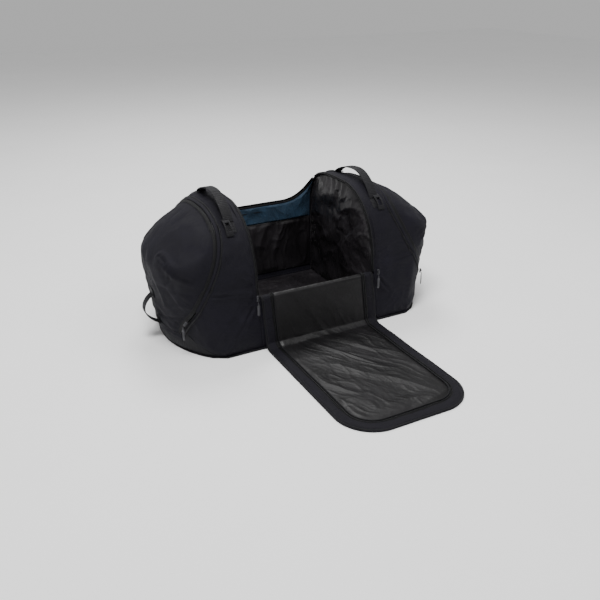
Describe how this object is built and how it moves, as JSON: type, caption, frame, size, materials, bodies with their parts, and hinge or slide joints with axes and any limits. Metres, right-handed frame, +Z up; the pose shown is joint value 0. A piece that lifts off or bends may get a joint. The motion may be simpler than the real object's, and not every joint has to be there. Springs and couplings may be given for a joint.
{
  "type": "ski boot bag",
  "caption": "Soft ski boot holdall with a wide zipped lid that folds down into a standing mat, and a zipped boot pocket in each end.",
  "frame": {"origin": "middle of the underside of the base, on the ground", "axes": "+Z up, +X along the bag to the right-hand pocket, -Y towards the side that the lid opens to"},
  "size_m": [0.8644, 0.8642, 0.39],
  "materials": {
    "shell_cloth": "matte woven polyester",
    "base_cloth": "coated woven base cloth",
    "stiffener": "matte sheet",
    "blue_lining": "plain woven lining",
    "coated_lining": "shiny waterproof coated cloth",
    "binding": "ribbed edge tape",
    "zipper_tape": "woven tape and coil",
    "slider_metal": "dark satin",
    "pull_tag": "moulded grey",
    "webbing": "ribbed webbing",
    "grey_webbing": "narrow webbing"
  },
  "bodies": {
    "bag": {"base_panel": "base_cloth", "base_board": "stiffener", "floor_lining": "coated_lining", "front_wall": "shell_cloth", "front_lining": "coated_lining", "sill_binding": "binding", "rear_wall": "shell_cloth", "rear_lining": "coated_lining", "rim_lining": "blue_lining", "left_section": "shell_cloth", "right_section": "shell_cloth", "left_heel": "shell_cloth", "right_heel": "shell_cloth", "left_divider": "coated_lining", "right_divider": "coated_lining", "left_opening_tape": "zipper_tape", "right_opening_tape": "zipper_tape", "rear_opening_tape": "zipper_tape", "left_end_piping": "binding", "right_end_piping": "binding", "left_storm_flap": "shell_cloth", "right_storm_flap": "shell_cloth", "left_handle_straps": "webbing", "right_handle_straps": "webbing", "inner_tab": "grey_webbing"},
    "lid_hang_panel": {"lid_hang_fabric": "shell_cloth", "lid_hang_lining": "coated_lining", "lid_hang_tape": "zipper_tape"},
    "lid_near_panel": {"lid_near_fabric": "shell_cloth", "lid_near_lining": "coated_lining", "lid_near_tape": "zipper_tape"},
    "lid_mid_panel": {"lid_mid_fabric": "shell_cloth", "lid_mid_lining": "coated_lining", "lid_mid_tape": "zipper_tape"},
    "lid_far_panel": {"lid_far_fabric": "shell_cloth", "lid_far_lining": "coated_lining", "lid_far_tape": "zipper_tape"},
    "lid_tip_panel": {"lid_tip_fabric": "shell_cloth", "lid_tip_lining": "coated_lining", "lid_tip_tape": "zipper_tape"},
    "left_door": {"left_door_panel": "shell_cloth", "left_door_lining": "coated_lining", "left_door_tape": "zipper_tape"},
    "left_carry_loop": {"left_top_handle": "webbing"},
    "left_end_loop": {"left_end_handle": "webbing"},
    "left_main_runner": {"left_main_slider": "slider_metal"},
    "left_main_tag": {"left_main_pull": "pull_tag"},
    "left_end_runner": {"left_end_slider": "slider_metal"},
    "left_end_tag": {"left_end_pull": "pull_tag"},
    "right_door": {"right_door_panel": "shell_cloth", "right_door_lining": "coated_lining", "right_door_tape": "zipper_tape"},
    "right_carry_loop": {"right_top_handle": "webbing"},
    "right_end_loop": {"right_end_handle": "webbing"},
    "right_main_runner": {"right_main_slider": "slider_metal"},
    "right_main_tag": {"right_main_pull": "pull_tag"},
    "right_end_runner": {"right_end_slider": "slider_metal"},
    "right_end_tag": {"right_end_pull": "pull_tag"}
  },
  "joints": [
    {"name": "lid_raise", "type": "hinge", "parent": "bag", "child": "lid_hang_panel", "pos_m": [0, -0.17949, 0.13673], "axis": [-1, 0, 0], "range_deg": [0, 178.5]},
    {"name": "lid_fold_near", "type": "hinge", "parent": "lid_hang_panel", "child": "lid_near_panel", "pos_m": [0, -0.21419, 0.0025], "axis": [-1, 0, 0], "range_deg": [-40, 0]},
    {"name": "lid_fold_mid", "type": "hinge", "parent": "lid_near_panel", "child": "lid_mid_panel", "pos_m": [0, -0.34819, 0.0046], "axis": [-1, 0, 0], "range_deg": [0, 38.5]},
    {"name": "lid_fold_far", "type": "hinge", "parent": "lid_mid_panel", "child": "lid_far_panel", "pos_m": [0, -0.49719, 0.0046], "axis": [-1, 0, 0], "range_deg": [0, 21.5]},
    {"name": "lid_fold_tip", "type": "hinge", "parent": "lid_far_panel", "child": "lid_tip_panel", "pos_m": [0, -0.57619, 0.0046], "axis": [-1, 0, 0], "range_deg": [0, 49]},
    {"name": "left_door_fold", "type": "hinge", "parent": "bag", "child": "left_door", "pos_m": [-0.38956, 0, 0.038], "axis": [0, -1, 0], "range_deg": [0, 80]},
    {"name": "left_carry_loop_tilt", "type": "hinge", "parent": "bag", "child": "left_carry_loop", "pos_m": [-0.218, 0, 0.34325], "axis": [0, 0.9872, 0.1592], "range_deg": [-40, 40], "stiffness_Nm_per_rad": 0.06},
    {"name": "left_end_loop_swing", "type": "hinge", "parent": "left_door", "child": "left_end_loop", "pos_m": [-0.39994, 0, 0.087], "axis": [-0.1191, 0, 0.9929], "range_deg": [-40, 40], "stiffness_Nm_per_rad": 0.02},
    {"name": "left_main_zip", "type": "slide", "parent": "bag", "child": "left_main_runner", "axis": [0, 0.1961, 0.9806], "range_m": [0, 0.05]},
    {"name": "left_main_tag_swing", "type": "hinge", "parent": "left_main_runner", "child": "left_main_tag", "pos_m": [-0.1835, -0.19081, 0.1308], "axis": [-1, 0, 0], "range_deg": [0, 75]},
    {"name": "left_end_zip", "type": "slide", "parent": "bag", "child": "left_end_runner", "axis": [0.346, -0.4827, 0.8045], "range_m": [0, 0.04]},
    {"name": "left_end_tag_swing", "type": "hinge", "parent": "left_end_runner", "child": "left_end_tag", "pos_m": [-0.37216, -0.13969, 0.08294], "axis": [-0.5736, 0.8191, 0], "range_deg": [0, 75]},
    {"name": "right_door_fold", "type": "hinge", "parent": "bag", "child": "right_door", "pos_m": [0.38956, 0, 0.038], "axis": [0, 1, 0], "range_deg": [0, 80]},
    {"name": "right_carry_loop_tilt", "type": "hinge", "parent": "bag", "child": "right_carry_loop", "pos_m": [0.218, 0, 0.34325], "axis": [0, 0.9872, 0.1592], "range_deg": [-40, 40], "stiffness_Nm_per_rad": 0.06},
    {"name": "right_end_loop_swing", "type": "hinge", "parent": "right_door", "child": "right_end_loop", "pos_m": [0.39994, 0, 0.087], "axis": [0.1191, 0, 0.9929], "range_deg": [-40, 40], "stiffness_Nm_per_rad": 0.02},
    {"name": "right_main_zip", "type": "slide", "parent": "bag", "child": "right_main_runner", "axis": [0, 0.1961, 0.9806], "range_m": [0, 0.05]},
    {"name": "right_main_tag_swing", "type": "hinge", "parent": "right_main_runner", "child": "right_main_tag", "pos_m": [0.1835, -0.19081, 0.1308], "axis": [-1, 0, 0], "range_deg": [0, 75]},
    {"name": "right_end_zip", "type": "slide", "parent": "bag", "child": "right_end_runner", "axis": [-0.346, -0.4827, 0.8045], "range_m": [0, 0.04]},
    {"name": "right_end_tag_swing", "type": "hinge", "parent": "right_end_runner", "child": "right_end_tag", "pos_m": [0.37216, -0.13969, 0.08294], "axis": [-0.5736, -0.8191, 0], "range_deg": [0, 75]}
  ],
  "couplings": [
    {"joint": "lid_fold_near", "follows": "lid_raise", "ratio": -0.22408},
    {"joint": "lid_fold_mid", "follows": "lid_raise", "ratio": 0.21568},
    {"joint": "lid_fold_far", "follows": "lid_raise", "ratio": 0.12044},
    {"joint": "lid_fold_tip", "follows": "lid_raise", "ratio": 0.2745}
  ]
}
